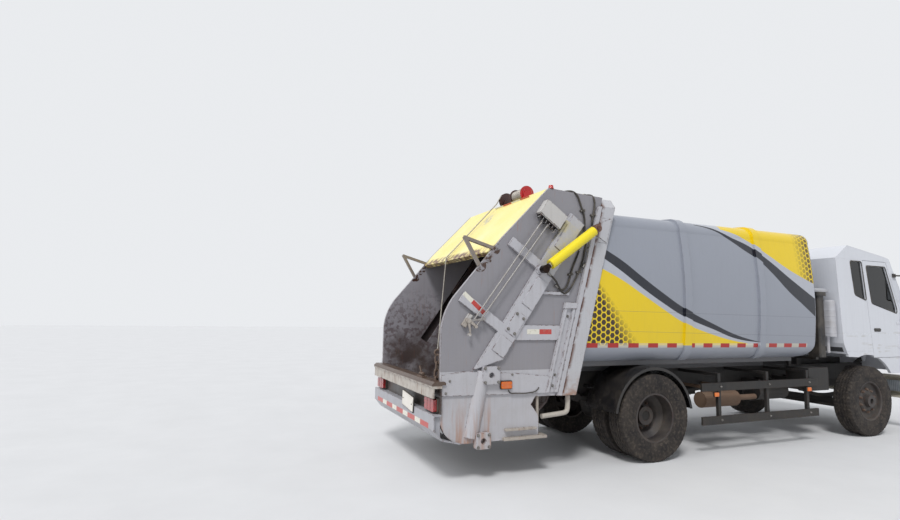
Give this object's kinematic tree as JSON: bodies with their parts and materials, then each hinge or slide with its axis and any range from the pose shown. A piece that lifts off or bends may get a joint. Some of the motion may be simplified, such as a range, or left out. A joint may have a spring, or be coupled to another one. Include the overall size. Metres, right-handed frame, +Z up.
{
  "type": "rear-loading garbage truck",
  "caption": "Rear-loading garbage truck: tilting cab, barrel-sided body, lifting tailgate with sliding packer and swinging blade, steered front wheels and twin rear wheels.",
  "frame": {"origin": "on the ground below the middle of the whole truck, suspension and mirrors included", "axes": "+X forward, +Y to the truck's left, +Z up"},
  "size_m": [8.49, 2.67, 3.428],
  "materials": {
    "chassis_paint": "matt black paint with road dirt",
    "cast_axle": "dull casting",
    "spring_steel": "dirty dark steel",
    "engine_iron": "grey cast iron",
    "tank_metal": "dark painted steel",
    "black_plastic": "matt black moulding",
    "rusty_steel": "rusted steel",
    "guard_paint": "grey paint with dirt",
    "mudguard_plastic": "glossy black moulding",
    "bumper_paint": "beige paint",
    "lamp_glass": "clear lamp lens",
    "body_paint": "silver grey paint with yellow and dark bands",
    "cab_paint": "white paint",
    "window_glass": "tinted glass",
    "seat_fabric": "dark woven cloth",
    "cabin_plastic": "grained grey moulding",
    "tyre": "dusty rubber",
    "rim_steel": "dark painted steel with dirt",
    "hopper_paint": "grey paint with dirt and rust at seams",
    "worn_steel": "dirty worn steel",
    "hood_paint": "pale yellow paint, worn",
    "panel_paint": "grey paint with dirt",
    "tail_lamp": "red lamp lens",
    "control_metal": "black paint and zinc",
    "rod_chrome": "oily chromed rod",
    "cylinder_paint": "yellow paint"
  },
  "bodies": {
    "chassis": {"chassis_frame": "chassis_paint", "front_axle": "cast_axle", "rear_axle": "cast_axle", "leaf_springs": "spring_steel", "engine_block": "engine_iron", "side_tanks": "tank_metal", "battery_box": "black_plastic", "muffler": "rusty_steel", "side_guards": "guard_paint", "mudguards": "mudguard_plastic", "air_intake": "black_plastic", "front_bumper": "bumper_paint", "headlamps": "lamp_glass", "body_shell": "body_paint", "body_front_wall": "body_paint", "body_floor": "chassis_paint", "body_rear_frame": "body_paint"},
    "cab": {"cab_roof": "cab_paint", "cab_back": "cab_paint", "cab_front": "cab_paint", "cab_floor": "cab_paint", "cab_glass": "window_glass", "seats": "seat_fabric", "dashboard": "cabin_plastic", "mirrors": "black_plastic"},
    "door_left": {"door_left": "cab_paint", "door_glass_left": "window_glass"},
    "door_right": {"door_right": "cab_paint", "door_glass_right": "window_glass"},
    "knuckle_left": {"knuckle_left": "cast_axle"},
    "knuckle_right": {"knuckle_right": "cast_axle"},
    "tie_rod": {"tie_rod": "cast_axle"},
    "front_wheel_left": {"front_tyre_left": "tyre", "front_rim_left": "rim_steel"},
    "front_wheel_right": {"front_tyre_right": "tyre", "front_rim_right": "rim_steel"},
    "rear_wheels_left": {"rear_tyres_left": "tyre", "rear_rims_left": "rim_steel"},
    "rear_wheels_right": {"rear_tyres_right": "tyre", "rear_rims_right": "rim_steel"},
    "tailgate": {"tailgate_side_left": "hopper_paint", "tailgate_side_right": "hopper_paint", "hopper_tub": "worn_steel", "tailgate_hood": "hood_paint", "guard_frames": "rusty_steel", "loading_sill": "rusty_steel", "rear_panel": "panel_paint", "tail_lamps": "tail_lamp", "control_gear": "control_metal", "winch": "control_metal"},
    "carriage": {"carriage": "worn_steel"},
    "blade": {"packer_blade": "worn_steel"},
    "blade_rods": {"blade_rods": "rod_chrome"},
    "lift_barrel_left": {"lift_barrel_left": "cylinder_paint"},
    "lift_barrel_right": {"lift_barrel_right": "cylinder_paint"},
    "lift_rod_left": {"lift_rod_left": "rod_chrome"},
    "lift_rod_right": {"lift_rod_right": "rod_chrome"},
    "ejector": {"ejector": "worn_steel"}
  },
  "joints": [
    {"name": "cab_tilt", "type": "hinge", "parent": "chassis", "child": "cab", "pos_m": [4.04, 0, 1.08], "axis": [0, 1, 0], "range_deg": [0, 45]},
    {"name": "door_left_hinge", "type": "hinge", "parent": "cab", "child": "door_left", "pos_m": [3.8625, 1.123, 1.5], "axis": [0, 0, -1], "range_deg": [0, 70]},
    {"name": "door_right_hinge", "type": "hinge", "parent": "cab", "child": "door_right", "pos_m": [3.8625, -1.123, 1.5], "axis": [0, 0, 1], "range_deg": [0, 70]},
    {"name": "steer_left", "type": "hinge", "parent": "chassis", "child": "knuckle_left", "pos_m": [2.96, 0.85, 0.525], "axis": [0, 0, 1], "range_deg": [-35, 35]},
    {"name": "steer_right", "type": "hinge", "parent": "chassis", "child": "knuckle_right", "pos_m": [2.96, -0.85, 0.525], "axis": [0, 0, 1], "range_deg": [-35, 35]},
    {"name": "tie_rod_pivot", "type": "hinge", "parent": "knuckle_left", "child": "tie_rod", "pos_m": [2.76, 0.85, 0.445], "axis": [0, 0, 1], "range_deg": [-35, 35]},
    {"name": "front_wheel_left_spin", "type": "hinge", "parent": "knuckle_left", "child": "front_wheel_left", "pos_m": [2.96, 1, 0.525], "axis": [0, 1, 0], "continuous": true},
    {"name": "front_wheel_right_spin", "type": "hinge", "parent": "knuckle_right", "child": "front_wheel_right", "pos_m": [2.96, -1, 0.525], "axis": [0, 1, 0], "continuous": true},
    {"name": "rear_wheels_left_spin", "type": "hinge", "parent": "chassis", "child": "rear_wheels_left", "pos_m": [-1.32, 0.855, 0.525], "axis": [0, 1, 0], "continuous": true},
    {"name": "rear_wheels_right_spin", "type": "hinge", "parent": "chassis", "child": "rear_wheels_right", "pos_m": [-1.32, -0.855, 0.525], "axis": [0, 1, 0], "continuous": true},
    {"name": "tailgate_lift", "type": "hinge", "parent": "chassis", "child": "tailgate", "pos_m": [-2.091, 0, 3.257], "axis": [0, 1, 0], "range_deg": [0, 85]},
    {"name": "carriage_slide", "type": "slide", "parent": "tailgate", "child": "carriage", "axis": [-0.571, 0, -0.821], "range_m": [0, 0.75]},
    {"name": "blade_swing", "type": "hinge", "parent": "carriage", "child": "blade", "pos_m": [-2.942, 0, 1.916], "axis": [0, 1, 0], "range_deg": [0, 100]},
    {"name": "blade_rods_slide", "type": "slide", "parent": "carriage", "child": "blade_rods", "axis": [0.571, 0, 0.821], "range_m": [0, 0.34]},
    {"name": "ejector_slide", "type": "slide", "parent": "chassis", "child": "ejector", "axis": [-1, 0, 0], "range_m": [0, 3.49]},
    {"name": "lift_barrel_left_pivot", "type": "hinge", "parent": "chassis", "child": "lift_barrel_left", "pos_m": [-2.224, 1.218, 2.78], "axis": [0, 1, 0], "range_deg": [0, 89]},
    {"name": "lift_rod_left_slide", "type": "slide", "parent": "lift_barrel_left", "child": "lift_rod_left", "axis": [-0.8148, 0, -0.5798], "range_m": [0, 0.67]},
    {"name": "lift_barrel_right_pivot", "type": "hinge", "parent": "chassis", "child": "lift_barrel_right", "pos_m": [-2.224, -1.218, 2.78], "axis": [0, 1, 0], "range_deg": [0, 89]},
    {"name": "lift_rod_right_slide", "type": "slide", "parent": "lift_barrel_right", "child": "lift_rod_right", "axis": [-0.8148, 0, -0.5798], "range_m": [0, 0.67]}
  ],
  "couplings": [
    {"joint": "steer_right", "follows": "steer_left", "ratio": 1},
    {"joint": "tie_rod_pivot", "follows": "steer_left", "ratio": -1},
    {"joint": "blade_rods_slide", "follows": "blade_swing", "m_per_rad": 0.19312},
    {"joint": "lift_barrel_left_pivot", "follows": "tailgate_lift", "ratio": 1.0429},
    {"joint": "lift_rod_left_slide", "follows": "tailgate_lift", "m_per_rad": 0.44817},
    {"joint": "lift_barrel_right_pivot", "follows": "tailgate_lift", "ratio": 1.0429},
    {"joint": "lift_rod_right_slide", "follows": "tailgate_lift", "m_per_rad": 0.44817}
  ]
}
